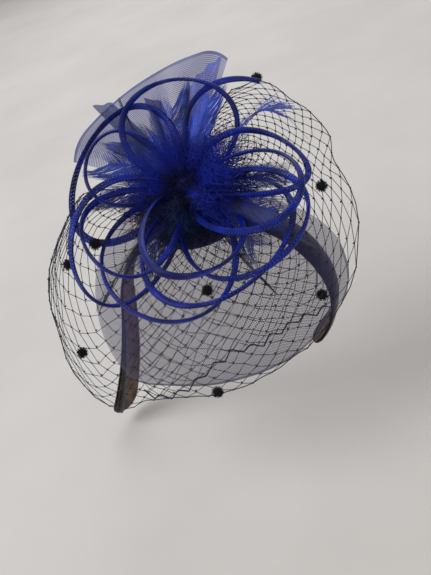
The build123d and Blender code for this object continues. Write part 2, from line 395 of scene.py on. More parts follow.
# The same nylon in a wide sheet looks violet navy, because the ground shows through its fine mesh.
SKIRT_CRIN = BraidedCrin("skirt_crin_braided_nylon", "#3a3764", "#171848", roughness=0.5, bump=0.3, patch_mm=30,
                         count_u=190, count_v=84, thread_share=0.34, veil_alpha=0.26, edge_from=0.985, edge_alpha=0.7,
                         specular=0.2)
# The standing fan catches the light along its curved threads, so it reads as pale grey violet.
FAN_CRIN = BraidedCrin("fan_crin_braided_nylon", "#5c6092", "#2a3074", roughness=0.45, bump=0.3, patch_mm=22,
                       count_u=1.5, count_v=60, thread_share=0.34, veil_alpha=0.42, edge_from=0.975, edge_alpha=0.85,
                       specular=0.25)
PLEAT_CRIN = BraidedCrin("pleated_crin_braided_nylon", "#1f4fd8", "#0a1a78", roughness=0.45, bump=0.3, patch_mm=12,
                         count_u=20, count_v=50, thread_share=0.36, veil_alpha=0.2, specular=0.2)
TAIL_CRIN = BraidedCrin("tail_crin_braided_nylon", "#26337e", "#0c1348", roughness=0.5, bump=0.3, patch_mm=12,
                        count_u=8, count_v=55, thread_share=0.42, veil_alpha=0.6, specular=0.2)
NET_THREAD = Finish("veil_net_knotted_viscose", "#1c1c38", "#08080f", roughness=0.6, sheen=0.2, grain_mm=0.4)
CHENILLE = Finish("chenille_dot_cut_pile", "#0a0a14", "#020204", roughness=0.95, sheen=0.3, grain_mm=0.5)
SATIN = WovenSatin("headband_woven_satin", "#181a30", "#080910", roughness=0.34, sheen=0.1, bump=0.2)
# Brown felt ribbon, rubbed patchy by wear.
LINING = Finish("headband_lining_brushed_felt", "#77604c", "#3a2a20", roughness=0.95, sheen=0.5, patch_mm=5,
                grain_mm=0.9, bump=0.6)
BASE_FELT = Finish("base_pressed_felt", "#1c2c6c", "#0d1740", roughness=0.95, sheen=0.5, grain_mm=0.8, bump=0.5)
BUCKRAM = Finish("base_woven_buckram", "#2a43a8", "#162568", roughness=0.7, grain_mm=1.2, bump=0.8)
THREAD = Finish("sewing_thread_twisted_polyester", "#24389c", "#101a50", roughness=0.5, grain_mm=0.5, bump=0.6)
GATHERS = Finish("gathered_crin_crushed_nylon", "#101e74", "#040828", roughness=0.6, grain_mm=1.2, bump=0.9)
CORE = Finish("headband_core_moulded_nylon", "#24242a", "#15151a", roughness=0.5, bump=0.1)
DOWN_BRIGHT = Finish("marabou_down_dyed_royal", "#0c2aae", "#060f6a", roughness=0.8, sheen=0.4, patch_mm=16, bump=0.0)
# A darker copy of the royal down, as painted shade on the front, the underside and the middle of the tuft.
DOWN_SHADED = Finish("marabou_down_painted_shade", "#080f58", "#03051e", roughness=0.85, sheen=0.2, patch_mm=12, bump=0.0)
# A few teal-tinted strands low on the front, as a painted highlight.
DOWN_TEAL_HIGHLIGHT = Finish("marabou_down_dyed_teal", "#1c5680", "#0c2a58", roughness=0.85, sheen=0.5, patch_mm=12, bump=0.0)
VANE_BRIGHT = Finish("goose_vane_dyed_royal", "#2a55dc", "#0f2a98", roughness=0.5, sheen=0.4, patch_mm=10, bump=0.0)
VANE_MID = Finish("goose_vane_dyed_blue", "#1c3aa4", "#0a1658", roughness=0.5, sheen=0.4, patch_mm=10, bump=0.0)
VANE_NAVY = Finish("goose_vane_dyed_navy", "#18277c", "#070d3c", roughness=0.55, sheen=0.4, patch_mm=10, bump=0.0)
COQUE_BLUE = Finish("coque_feather_dyed_royal", "#1936a8", "#081050", roughness=0.45, sheen=0.3, patch_mm=8, bump=0.0)
COQUE_DARK = Finish("coque_feather_dyed_midnight", "#10163e", "#04060f", roughness=0.45, sheen=0.3, patch_mm=8,
                    bump=0.0)
FLOOR = Finish("studio_floor_matt_paper", "#d8d2ca", "#d0cac2", roughness=0.9, patch_mm=160, grain_mm=3, bump=0.02)


# --- flower --------------------------------------------------------------------------------------------------
@dataclass
class TubeLoop:
    """One loop of tubular crin, bent from the hub and back, with both ends crushed flat under the stitches."""

    name: str
    heading: float
    rise: float
    roll: float
    reach: float
    width: float
    point: float
    lean: float
    turn: float = 0.0
    swell: float = 1.0
    start: float = 4.0
    foot: float = 0.12
    apart: float = 2.7
    cut: bool = False            # a loose tube that ends where the loop would turn back
    wide: float = 1.9
    thick: float = 1.05

    def centre(self, v: float) -> Vector:
        """The tube's middle at a share v of its length."""
        t = mix(self.foot, math.pi if self.cut else 2 * math.pi - self.foot, v)
        out, cross, _ = self.axes()
        x = self.start + (self.reach - self.start) * (1 - math.cos(t)) / 2
        y = self.width / 2 * math.sin(t) * abs(math.sin(t / 2)) ** self.point + self.lean * x * x / self.reach
        y += self.apart * math.cos(t / 2)
        return HUB + (out * x + cross * y) * MM

    def axes(self) -> tuple[Vector, Vector, Vector]:
        """Outwards, across and through the loop."""
        out = bearing(self.heading, self.rise)
        side = bearing(self.heading + 90)
        roll = math.radians(self.roll)
        cross = side * math.cos(roll) + out.cross(side) * math.sin(roll)
        return out, cross, out.cross(cross)

    def surface(self, u: float, v: float) -> Vector:
        """A point of the flattened tube: u round it and v along it."""
        step = 0.004
        along = (self.centre(min(1.0, v + step)) - self.centre(max(0.0, v - step))).normalized()
        through = self.axes()[2]
        inwards = through.cross(along).normalized()
        crush = math.exp(-((v if self.cut else min(v, 1 - v)) / 0.07) ** 2)
        angle = math.radians(self.turn + 55 * math.sin(2 * math.pi * v + math.radians(self.turn)))
        flat = through * math.cos(angle) + inwards * math.sin(angle)
        deep = inwards * math.cos(angle) - through * math.sin(angle)
        at = self.centre(v)
        uneven = 1 + 0.07 * ripple(at, 9, self.heading)
        wide = self.wide * self.swell * uneven * (1 + 0.8 * crush)
        thick = self.thick * uneven * (1 - 0.45 * crush)
        a = 2 * math.pi * u
        return at + (flat * math.cos(a) * wide + deep * math.sin(a) * thick) * MM

    def build(self) -> bpy.types.Object:
        """Makes the loop and stands it for its CAD node."""
        mesh = cloth_grid(self.name, 14, 150, self.surface, closed=True)
        piece = link(mesh, self.name, TUBE_CRIN.material())
        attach(piece, "root")
        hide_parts(f"crin_{self.name}")
        return piece


@dataclass
class Feather:
    """One dyed feather: a tapering quill with separate barbs that comb outwards and part here and there."""

    name: str
    node: str
    finish: Finish
    heading: float
    rise: float
    length: float
    width: float
    bend: float = 0.0
    hook: float = 0.0            # extra sideways bend, nearly all of it in the last third
    droop: float = 0.0
    bare: float = 0.1
    tip: float = 0.995           # share of the quill where the barbs end
    ragged: float = 0.25
    barbs: int = 90
    comb: float = 38.0
    barb_mm: float = 0.5
    start: float = 5.0
    base: Vector = field(default_factory=lambda: Vector((0, 0, 0)))

    def quill(self, s: float) -> Vector:
        """The quill's middle at a share s of its length."""
        out = bearing(self.heading, self.rise)
        side = bearing(self.heading + 90)
        up = out.cross(side)
        reach = self.start + (self.length - self.start) * s
        return HUB + self.base * MM + (out * reach + side * (self.bend * s * s + self.hook * s ** 4)
                                       - up * self.droop * s * s) * MM

    def frame_at(self, s: float) -> tuple[Vector, Vector]:
        """Tangent and sideways direction of the quill."""
        along = (self.quill(min(1.0, s + 0.01)) - self.quill(max(0.0, s - 0.01))).normalized()
        up = bearing(self.heading, self.rise).cross(bearing(self.heading + 90))
        return along, up.cross(along).normalized()

    def barb(self, s: float, way: int, dice: random.Random) -> list[Vector]:
        """Points of one barb from the quill to its tip."""
        along, side = self.frame_at(s)
        up = side.cross(along)
        outline = (1 - ((s - 0.45) / 0.58) ** 2) if s > 0.45 else (0.55 + 0.45 * smooth(self.bare, 0.45, s))
        reach = self.width / 2 * max(0.12, outline) ** 0.6 * dice.uniform(1 - self.ragged, 1 + self.ragged * 0.4)
        lean = math.radians(max(13.0, self.comb + dice.uniform(-5, 5) - 8 * s))
        run = []
        for i in range(6):
            k = i / 5
            bow = lean * (1 - 0.45 * k)
            step = (side * way * math.sin(bow) + along * math.cos(bow)) * reach / math.sin(lean) * k
            lift = up * (0.35 * reach * k * k * 0.5 + dice.uniform(-0.25, 0.25) * k)
            run.append(self.quill(s) + (step + lift) * MM)
        return run

    def build(self) -> bpy.types.Object:
        """Makes the feather and stands it for its CAD node."""
        dice = random.Random(self.name)
        form = bmesh.new()
        for way in (-1, 1):
            gap = 0.0
            for i in range(self.barbs):
                s = mix(self.bare, self.tip, (i + dice.random() * 0.6) / self.barbs)
                gap = dice.uniform(1.5, 4.0) if dice.random() < self.ragged * 0.12 else gap - 1
                if gap > 0:
                    continue
                self.add_strip(form, self.barb(s, way, dice), self.barb_mm)
        quill_run = [self.quill(i / 24) for i in range(25)]
        shaft = threads(self.name, [quill_run], 1.1, 1, lambda s: 1.0 - 0.85 * s)
        form.from_mesh(shaft)
        bpy.data.meshes.remove(shaft)
        piece = link(mesh_of(form, self.name), self.name, self.finish.material())
        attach(piece, "root")
        if self.node:
            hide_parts(self.node)
        return piece

    def add_strip(self, form: bmesh.types.BMesh, run: Sequence[Vector], width: float) -> None:
        """Adds one barb as a narrow tapering strip, extruded edge by edge along its run."""
        along, _ = self.frame_at(0.5)
        half = width / 2 * MM
        pair = [form.verts.new(run[0] - along * half), form.verts.new(run[0] + along * half)]
        edge = form.edges.new(pair)
        for i, (a, b) in enumerate(zip(run, run[1:])):
            made = bmesh.ops.extrude_edge_only(form, edges=[edge])["geom"]
            verts = [g for g in made if isinstance(g, bmesh.types.BMVert)]
            bmesh.ops.translate(form, verts=verts, vec=b - a)
            if i == len(run) - 2:
                middle = (verts[0].co + verts[1].co) / 2
                for vert in verts:
                    vert.co = middle.lerp(vert.co, 0.25)
            edge = [g for g in made if isinstance(g, bmesh.types.BMEdge) and set(g.verts) == set(verts)][0]


@dataclass
class Marabou:
    """A tuft of marabou: soft strands in all directions, each with its own down."""

    name: str
    finish: Finish
    strands: int
    reach: float
    low: float
    high: float
    headings: tuple[float, float] = (0.0, 360.0)
    seed: int = 1
    thread_mm: float = 0.34

    def build(self) -> bpy.types.Object:
        """Makes the tuft."""
        dice = random.Random(self.seed)
        runs: list[list[Vector]] = []
        for _ in range(self.strands):
            spine = self.spine(dice)
            runs.append(spine)
            runs.extend(self.down(spine, dice))
        mesh = threads(self.name, runs, self.thread_mm, 0, lambda s: 1.0 - 0.75 * s)
        piece = link(mesh, self.name, self.finish.material())
        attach(piece, "root")
        return piece

    def spine(self, dice: random.Random) -> list[Vector]:
        """One strand's wavy middle line."""
        heading = dice.uniform(*self.headings)
        out = bearing(heading, dice.uniform(self.low, self.high))
        side = bearing(heading + 90)
        up = out.cross(side)
        length = self.reach * dice.uniform(0.6, 1.0)
        wave, phase = dice.uniform(1.0, 3.0), dice.uniform(0, 6.3)
        return [HUB + (out * length * k + side * wave * math.sin(4 * k + phase) * k
                       - up * dice.uniform(3, 7) * k * k) * MM for k in (i / 7 for i in range(8))]

    def down(self, spine: Sequence[Vector], dice: random.Random) -> list[list[Vector]]:
        """Fine down along one strand."""
        made = []
        for i in range(1, len(spine)):
            along = (spine[i] - spine[i - 1]).normalized()
            for _ in range(3):
                way = Vector((dice.uniform(-1, 1), dice.uniform(-1, 1), dice.uniform(-1, 1)))
                way = (way - along * way.dot(along) * 0.4).normalized()
                size = dice.uniform(2.5, 5.5) * MM
                root = spine[i - 1].lerp(spine[i], dice.random())
                made.append([root, root + (way * 0.6 + along * 0.3) * size, root + (way + along * 0.9) * size])
        return made


# --- sheets --------------------------------------------------------------------------------------------------
@dataclass
class CrinSkirt:
    """The wide crin sheet, gathered under the flower and draped over the front of the head."""

    left: float = -184.0
    right: float = 9.0
    neck_mm: float = 80.5
    radius_mm: float = 81.0
    gather_angle: float = 7.0

    def hem(self, heading: float) -> float:
        """Angle of the hem down from the drape's axis, rounded off at both side edges."""
        level = 82.5 + 11.5 * math.exp(-((heading + 135) / 24) ** 2) + 10 * smooth(-30, 5, heading)
        left = math.sqrt(smooth(self.left - 8, self.left + 42, heading))
        right = math.sqrt(smooth(self.right + 6, self.right - 14, heading))
        return level * mix(0.55, 1.0, left) * mix(0.72, 1.0, right)

    def surface(self, u: float, v: float) -> Vector:
        """A point of the sheet: u round the head and v from the gathers to the hem."""
        heading = mix(self.left, self.right, u)
        angle = mix(self.gather_angle, self.hem(heading), v)
        pleat = math.sin(math.radians(heading) * 17 + 1.3 * math.sin(math.radians(heading) * 5))
        radius = mix(self.neck_mm - 2, self.radius_mm, smooth(0, 0.35, v)) + 1.5 * pleat * (1 - smooth(0.05, 0.55, v))
        at = on_drape(heading, angle, radius)
        wander = 1.2 * ripple(at, 34, 3) * smooth(0.2, 0.9, v)
        curl = 2.5 * smooth(0.9, 1.0, v) * smooth(-60, -10, heading)
        return on_drape(heading, angle, radius + wander - curl)

    def build(self) -> bpy.types.Object:
        """Makes the skirt, whose end lies over the right arm."""
        piece = link(cloth_grid("crin_skirt_sheet", 190, 70, self.surface), "crin_skirt_sheet", SKIRT_CRIN.material())
        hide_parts("crin_skirt")
        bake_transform(piece)
        return piece


@dataclass
class CrinFan:
    """The wide crin sheet that stands up behind the flower like a fan, folded over along its right side."""

    left: float = 153.0
    right: float = 76.0
    radius_mm: float = 102.0
    rise: float = -5.0

    def reach(self, heading: float) -> float:
        """Length of the fan along a heading, rounded at both corners."""
        left = smooth(self.left + 4, self.left - 14, heading)
        right = smooth(self.right - 4, self.right + 12, heading)
        return self.radius_mm * mix(0.86, 1.0, math.sqrt(left)) * mix(0.84, 1.0, math.sqrt(right))

    def surface(self, u: float, v: float) -> Vector:
        """A point of the fan: u from its left to its right edge and v from the gathers out."""
        heading = mix(self.left, self.right, u)
        along = mix(8.0, self.reach(heading), v)
        cup = 5.0 * math.sin(math.pi * u) * v * v
        pleat = 1.6 * math.sin(u * math.pi * 11) * (1 - smooth(0.1, 0.75, v))
        at = HUB + bearing(heading, self.rise) * along * MM
        return at + bearing(0, 90) * (pleat - cup + 0.8 * ripple(at, 30, 5)) * MM

    def build(self) -> bpy.types.Object:
        """Makes the fan."""
        piece = link(cloth_grid("crin_fan_sheet", 110, 60, self.surface), "crin_fan_sheet", FAN_CRIN.material())
        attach(piece, "root")
        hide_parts("crin_fan")
        return piece


@dataclass
class PleatedFold:
    """The fan's right side, folded back on itself and pleated tight, so its blue is strong."""

    left: float = 92.0
    right: float = 74.0
    radius_mm: float = 84.0

    def surface(self, u: float, v: float) -> Vector:
        """A point of the fold: u across its pleats and v from the gathers out."""
        heading = mix(self.left, self.right, u)
        along = mix(7.0, self.radius_mm * (1 - 0.28 * (1 - u) ** 2), v)
        pleat = 2.4 * math.sin(u * math.pi * 7) * mix(1.0, 0.45, v)
        roll = 3.0 * (2 * u - 1) ** 2 * v
        return HUB + bearing(heading, 1.0) * along * MM + bearing(0, 90) * (pleat + roll) * MM

    def build(self) -> bpy.types.Object:
        """Makes the fold."""
        piece = link(cloth_grid("crin_fan_fold", 80, 40, self.surface), "crin_fan_fold", PLEAT_CRIN.material())
        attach(piece, "root")
        return piece


@dataclass
class RibbonTail:
    """A loose end of narrow crin ribbon with a slanted cut."""

    name: str
    node: str
    heading: float
    rise: float
    length: float
    width: float
    twist: float = 25.0

    def surface(self, u: float, v: float) -> Vector:
        """A point of the ribbon: u across and v along it."""
        out = bearing(self.heading, self.rise)
        side = bearing(self.heading + 90)
        up = out.cross(side)
        turn = math.radians(self.twist * v)
        across = side * math.cos(turn) + up * math.sin(turn)
        slant = 5.0 * (u - 0.5) * smooth(0.7, 1.0, v)
        spread = self.width * mix(0.4, 1.0, smooth(0.0, 0.5, v))
        flute = 0.9 * math.sin(u * math.pi * 3)
        return HUB + (out * (mix(7.0, self.length, v) + slant) + across * (u - 0.5) * spread + up * flute) * MM

    def build(self) -> bpy.types.Object:
        """Makes the tail."""
        piece = link(cloth_grid(self.name, 16, 60, self.surface), self.name, TAIL_CRIN.material())
        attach(piece, "root")
        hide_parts(self.node)
        return piece


# --- veil ----------------------------------------------------------------------------------------------------
@dataclass
class Veil:
    """Knotted net: draped over the front of the head, and standing up as a ruffle behind the flower's right side."""

    left: float = -188.0
    right: float = 70.0
    cells_round: int = 33
    cells_down: int = 16
    radius_mm: float = 92.0
    neck_mm: float = 80.0
    ruffle_mm: float = 86.0
    thread_mm: float = 0.36
    knot_mm: float = 0.62

    def hem(self, heading: float) -> float:
        """Angle of the drape's hem down from its axis."""
        front = 76.0 + 3.5 * smooth(-45, -85, heading) + 20.0 * math.exp(-((heading + 131) / 20) ** 2)
        return min(front, 99.0 + 0.9 * (heading + 134))

    def radius(self, heading: float) -> float:
        """Distance of the net from the drape's centre; it stands further off on the flower's left."""
        return self.radius_mm + 16.0 * smooth(-112, -150, heading)

    def drape(self, heading: float, v: float) -> Vector:
        """A point of the draped part: up out of the gathers, over and down."""
        angle = mix(5.0, self.hem(heading), v)
        radius = mix(self.neck_mm, self.radius(heading), smooth(4, 40, angle))
        return on_drape(heading, angle, radius)

    def stand(self, heading: float, v: float) -> Vector:
        """A point of the part that stands up as a ruffle."""
        reach = mix(self.ruffle_mm + 18, self.ruffle_mm - 3, smooth(-30, 5, heading))
        reach -= 14 * smooth(self.right - 16, self.right + 4, heading)
        lift = 5.0 * math.sin(math.pi * v) * smooth(0, 60, heading)
        return HUB + (bearing(heading, -8) * mix(6.0, reach, v) + bearing(0, 90) * lift) * MM

    def surface(self, heading: float, v: float) -> Vector:
        """A point of the net between the gathers at v = 0 and its free edge at v = 1."""
        return self.drape(heading, v).lerp(self.stand(heading, v), smooth(-48, -6, heading))

    def lattice(self, i: float, j: float) -> Vector:
        """A point of the net's own grid, i cells round and j cells down."""
        heading = mix(self.left, self.right, i / self.cells_round)
        v = max(0.0, j) / self.cells_down
        at = self.surface(heading, v)
        loose = smooth(0.15, 0.5, v)
        push = Vector((ripple(at, 13, 1), ripple(at, 13, 2), ripple(at, 13, 3))) * 1.5 * loose
        wave = Vector((ripple(at, 45, 4), ripple(at, 45, 5), ripple(at, 45, 6))) * 3.0 * loose
        return at + (push + wave) * MM

    def runs(self) -> list[list[Vector]]:
        """The net's crossing threads, knot by knot."""
        made = []
        for way in (1, -1):
            first = range(-self.cells_down, self.cells_round + 1) if way == 1 else range(
                0, self.cells_round + self.cells_down + 1)
            for origin in first:
                run = []
                for k in range(2 * self.cells_down + 1):
                    j = k / 2
                    i = origin + way * j
                    if 0 <= i <= self.cells_round:
                        sag = 0.0 if k % 2 == 0 else 0.12
                        run.append(self.lattice(i, j + sag))
                if len(run) > 1:
                    made.append(run)
        return made

    def knots(self) -> list[Vector]:
        """Where the threads cross."""
        places = []
        for j2 in range(3, 2 * self.cells_down + 1):
            j = j2 / 2
            for i2 in range(2 * self.cells_round + 1):
                if (i2 - j2) % 2 == 0:
                    places.append(self.lattice(i2 / 2, j))
        return places

    def selvedge(self) -> list[list[Vector]]:
        """The doubled thread along the free edges."""
        bottom = [self.lattice(i / 2, self.cells_down) for i in range(2 * self.cells_round + 1)]
        sides = [[self.lattice(i, j / 2) for j in range(2 * self.cells_down + 1)] for i in (0, self.cells_round)]
        return [bottom, *sides]

    def build(self) -> list[bpy.types.Object]:
        """Makes the net, its knots and its selvedge."""
        mesh = threads("veil_net_threads", self.runs(), self.thread_mm, 1)
        net = link(mesh, "veil_net_threads", NET_THREAD.material())
        lumps = bmesh.new()
        for place in self.knots():
            bmesh.ops.create_icosphere(lumps, subdivisions=1, radius=self.knot_mm * MM,
                                       matrix=Matrix.Translation(place))
        knots = link(mesh_of(lumps, "veil_net_knots"), "veil_net_knots", NET_THREAD.material())
        edge = link(threads("veil_selvedge", self.selvedge(), 0.55, 1), "veil_selvedge", NET_THREAD.material())
        for piece in (net, knots, edge):
            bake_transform(piece)
        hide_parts("veil_drape", "veil_ruffle")
        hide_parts("veil_hem_cord")
        return [net, knots, edge]


@dataclass
class UnderNet:
    """A second, shorter layer of the same net, whose thick pulled thread runs in a zigzag over the front."""

    left: float = -116.0
    right: float = -24.0
    cells_round: int = 11
    cells_down: int = 9
    radius_mm: float = 86.5

    def hem(self, heading: float) -> float:
        """Angle of the slanting lower edge."""
        return 66.0 + 22.0 * smooth(-72, -112, heading) + 6.0 * smooth(-45, -26, heading)

    def lattice(self, i: float, j: float) -> Vector:
        """A point of the layer's own grid."""
        heading = mix(self.left, self.right, i / self.cells_round)
        angle = mix(14.0, self.hem(heading), j / self.cells_down)
        at = on_drape(heading, angle, self.radius_mm)
        return at + Vector((ripple(at, 14, 7), ripple(at, 14, 8), ripple(at, 14, 9))) * 1.4 * MM

    def build(self) -> list[bpy.types.Object]:
        """Makes the layer and its zigzag thread."""
        runs = []
        for way in (1, -1):
            for origin in range(-self.cells_down, self.cells_round + self.cells_down + 1):
                run = [self.lattice(origin + way * k / 2, k / 2) for k in range(2 * self.cells_down + 1)
                       if 0 <= origin + way * k / 2 <= self.cells_round]
                if len(run) > 1:
                    runs.append(run)
        net = link(threads("under_net_threads", runs, 0.34, 1), "under_net_threads", NET_THREAD.material())
        steps = 2 * self.cells_round
        zigzag = [self.lattice(k / 2, self.cells_down + (0.3 if k % 2 else -0.15)) for k in range(steps + 1)]
        cord = link(threads("under_net_zigzag", [zigzag], 0.95, 1), "under_net_zigzag", NET_THREAD.material())
        for piece in (net, cord):
            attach(piece, "root")
        return [net, cord]


@dataclass
class ChenilleDots:
    """Black cut-pile dots on the veil, each a soft ball of short fibres."""

    core_mm: float = 2.5
    pile_mm: float = 1.3
    fibres: int = 260

    def centres(self) -> list[Vector]:
        """The middles of the separate balls in the CAD node."""
        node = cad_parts["veil_dots"]
        form = bmesh.new()
        form.from_mesh(node.data)
        bmesh.ops.remove_doubles(form, verts=form.verts, dist=1e-6)
        left = set(form.verts)
        middles = []
        while left:
            group, stack = set(), [left.pop()]
            while stack:
                vert = stack.pop()
                group.add(vert)
                near = {e.other_vert(vert) for e in vert.link_edges} & left
                left -= near
                stack.extend(near)
            lows = [min(v.co[k] for v in group) for k in range(3)]
            highs = [max(v.co[k] for v in group) for k in range(3)]
            middles.append(self.on_net((Vector(lows) + Vector(highs)) / 2))
        form.free()
        return sorted(middles, key=lambda m: tuple(m))

    @staticmethod
    def on_net(middle: Vector) -> Vector:
        """Moves a dot out to the net where the net stands off on the flower's left."""
        side, back, _ = drape_axes()
        away = middle - DRAPE
        heading = math.degrees(math.atan2(away.dot(back), away.dot(side)))
        net = Veil()
        return middle + away.normalized() * (net.radius(heading) - net.radius_mm) * MM * (heading < -100)

    def build(self) -> bpy.types.Object:
        """Makes all the dots as one piece."""
        dice = random.Random(8)
        form = bmesh.new()
        runs = []
        for middle in self.centres():
            bmesh.ops.create_icosphere(form, subdivisions=2, radius=self.core_mm * MM,
                                       matrix=Matrix.Translation(middle))
            for _ in range(self.fibres):
                way = Vector((dice.gauss(0, 1), dice.gauss(0, 1), dice.gauss(0, 1))).normalized()
                size = dice.uniform(0.5, 1.0) * self.pile_mm
                runs.append([middle + way * self.core_mm * 0.9 * MM, middle + way * (self.core_mm + size) * MM])
        pile = threads("veil_dots_pile", runs, 0.3, 0, lambda s: 1 - 0.5 * s)
        form.from_mesh(pile)
        bpy.data.meshes.remove(pile)
        piece = link(mesh_of(form, "chenille_dots"), "chenille_dots", CHENILLE.material())
        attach(piece, "root")
        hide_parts("veil_dots")
        return piece


# --- headband ------------------------------------------------------------------------------------------------
class Side(Enum):
    """Which arm of the headband, with its sign along X."""

    LEFT = -1
    RIGHT = 1


@dataclass
class BandHalf:
    """Half of the headband, from the crown to one tip: a padded satin cover over the core, lined with felt."""

    side: Side
    bend_end: float
    leg_radius: float
    leg_length: float
    twist: float = 0.0
    width: float = 25.0

    def total(self) -> float:
        """Length from the top of the crown to the tip."""
        return CROWN_RADIUS * math.radians(self.bend_end) + self.leg_length

    def middle(self, s: float) -> tuple[Vector, Vector, Vector]:
        """The mid-line, the outward and the forward direction at a share s from the crown to the tip."""
        bend = CROWN_RADIUS * math.radians(self.bend_end)
        run = s * self.total()
        angle = min(run, bend) / CROWN_RADIUS
        at = self.ray(angle) * CROWN_RADIUS
        turned = 0.0
        if run > bend:
            heart = at - self.ray(angle) * self.leg_radius
            angle += (run - bend) / self.leg_radius
            at = heart + self.ray(angle) * self.leg_radius
            turned = math.radians(self.twist) * (run - bend) / self.leg_length
        out = self.ray(angle)
        ahead = Vector((0.0, 1.0, 0.0))
        return (at * MM, out * math.cos(turned) - ahead * math.sin(turned),
                ahead * math.cos(turned) + out * math.sin(turned))

    def ray(self, angle: float) -> Vector:
        """Outward direction at an angle in radians from the crown's top."""
        return Vector((self.side.value * math.sin(angle), 0.0, math.cos(angle)))

    def half_width(self, s: float, width: float) -> float:
        """Half the band's width, rounded off at the tip."""
        left = (1 - s) * self.total() / (width / 2)
        if left >= 1:
            return width / 2
        return width / 2 * math.sqrt(max(0.0, 1 - (1 - left) ** 2))

    def cover(self, u: float, v: float) -> Vector:
        """A point of the padded cover: u round its section and v from the crown to the tip."""
        at, out, ahead = self.middle(v)
        half = self.half_width(v, self.width)
        a = 2 * math.pi * u
        y = math.copysign(abs(math.cos(a)) ** 0.85, math.cos(a)) * half
        crown = 2.3 if math.sin(a) > 0 else 1.0
        fade = min(1.0, half / 4.0)
        rise = math.copysign(abs(math.sin(a)) ** 1.35, math.sin(a)) * crown * fade
        pucker = 0.12 * math.sin(v * 190) * abs(math.cos(a)) ** 6
        return at + (out * (rise + pucker) + ahead * y) * MM

    def lining(self, u: float, v: float) -> Vector:
        """A point of the felt ribbon inside the band."""
        at, out, ahead = self.middle(min(v, 0.992))
        half = self.half_width(min(v, 0.992), self.width - 1.6)
        a = 2 * math.pi * u
        y = math.cos(a) * half
        depth = -1.25 - 0.45 * math.sin(a) + 0.08 * ripple(at + Vector((0, y * MM, 0)), 3, 9)
        return at + (out * depth + ahead * y) * MM

    def build(self) -> list[bpy.types.Object]:
        """Makes the cover and the lining, each bending at the arm's spring."""
        made = []
        for layer, place, finish, slot in (("cover", self.cover, SATIN, "band_satin"),
                                           ("lining", self.lining, LINING, "lining_felt")):
            side = self.side.name.lower()
            name = f"headband_{layer}_{side}"
            piece = link(cloth_grid(name, 28, 120, place, closed=True), name, finish.material())
            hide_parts(f"band_{layer}_{side}")
            if self.side is Side.LEFT:
                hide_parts(f"band_{layer}_crown")
            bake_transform(piece)
            made.append(piece)
        return made


# --- build ---------------------------------------------------------------------------------------------------
LOOPS = (
    TubeLoop("loop_top", 85, 32, 7, 61, 70, 0.3, 0.02, turn=20),
    TubeLoop("loop_upper_left_outer", 159, 16, -3, 67, 95, 0.5, 0.04, turn=60, swell=1.2),
    TubeLoop("loop_upper_left_inner", 164, 34, 16, 59, 66, 1.2, -0.03, turn=-30, swell=1.25),
    TubeLoop("tube_end", 63, 15, 22, 69, 62, 1.8, -0.29, turn=80, cut=True),
    TubeLoop("loop_right_upper", 6, 33, 17, 85, 39, 0.5, -0.38, turn=10),
    TubeLoop("loop_right_middle", 333, 30, 2, 105, 45, 0.2, -0.06, turn=-60),
    TubeLoop("loop_right_lower", 313, 17, 4, 93, 70, 0.4, 0.10, turn=40),
    TubeLoop("loop_front_inner", 295, 28, -39, 96, 49, 0.0, -0.19, turn=0),
    TubeLoop("loop_front_right", 306, 8, -20, 81, 86, 0.0, -0.22, turn=110),
    TubeLoop("loop_left_outer", 216, 23, -25, 80, 67, 0.5, 0.23, turn=-20, swell=1.2),
    TubeLoop("loop_left_inner", 224, 33, -3, 74, 70, 1.0, 0.21, turn=70),
    TubeLoop("loop_front_left", 255, 15, -4, 86, 80, 0.2, 0.18, turn=30),
)

FEATHERS = (
    Feather("feather_right_stripped", "coque_feather_right", COQUE_BLUE, 12, 18, 79, 11, bend=86, hook=-102, bare=0.38,
            tip=0.8, barbs=90, comb=26, ragged=0.45),
    Feather("feather_right_tip", "coque_feather_tip", COQUE_DARK, 330, 0, 86, 9, bend=-6, bare=0.3, comb=20),
    Feather("feather_front_dark", "coque_feather_front", COQUE_DARK, 219, 5, 78, 10, bend=18, bare=0.3, comb=18),
    Feather("feather_quill_thin", "coque_feather_quill", COQUE_DARK, 301, 6, 92, 4, bend=6, bare=0.5, comb=12),
    Feather("feather_left_point", "coque_feather_left", COQUE_DARK, 163, 8, 66, 7, bend=-2, bare=0.2, comb=18),
    Feather("feather_back_tip", "coque_feather_back", COQUE_DARK, 138, 10, 72, 5, bend=-20, bare=0.5, comb=15),
    Feather("vane_top", "goose_vane_top", VANE_MID, 108, 12, 50, 46, bend=-10, ragged=0.1, barbs=170, comb=44),
    Feather("vane_back", "goose_vane_back", VANE_BRIGHT, 79, 8, 54, 32, bend=-6, ragged=0.1, barbs=170, barb_mm=0.6,
            comb=40),
    Feather("vane_left", "goose_vane_left", VANE_MID, 141, 14, 50, 42, bend=12, ragged=0.12, barbs=170, comb=46),
    Feather("vane_right", "goose_vane_right", VANE_NAVY, 336, 6, 60, 36, bend=-4, ragged=0.15, barbs=150, comb=44),
    Feather("vane_front", "goose_vane_front", VANE_NAVY, 318, 4, 58, 36, bend=-6, ragged=0.15, barbs=150, comb=44),
    Feather("vane_low", "goose_vane_low", VANE_NAVY, 238, 8, 50, 32, bend=4, ragged=0.15, barbs=140, comb=44),
    Feather("vane_left_low", "goose_vane_left_low", VANE_MID, 168, 8, 50, 30, bend=8, ragged=0.15, barbs=150, comb=40),
    Feather("vane_right_high", "goose_vane_right_high", VANE_NAVY, 1, 4, 56, 28, bend=-5, ragged=0.15,
            barbs=140, comb=42),
    Feather("vane_top_left", "goose_vane_top_left", VANE_MID, 124, 16, 48, 38, bend=10, ragged=0.12,
            barbs=150, comb=44),
    Feather("feather_hub_leaf", "", COQUE_DARK, 100, 42, 27, 5, bend=-3, bare=0.1, barbs=50, comb=16, start=9.0),
)

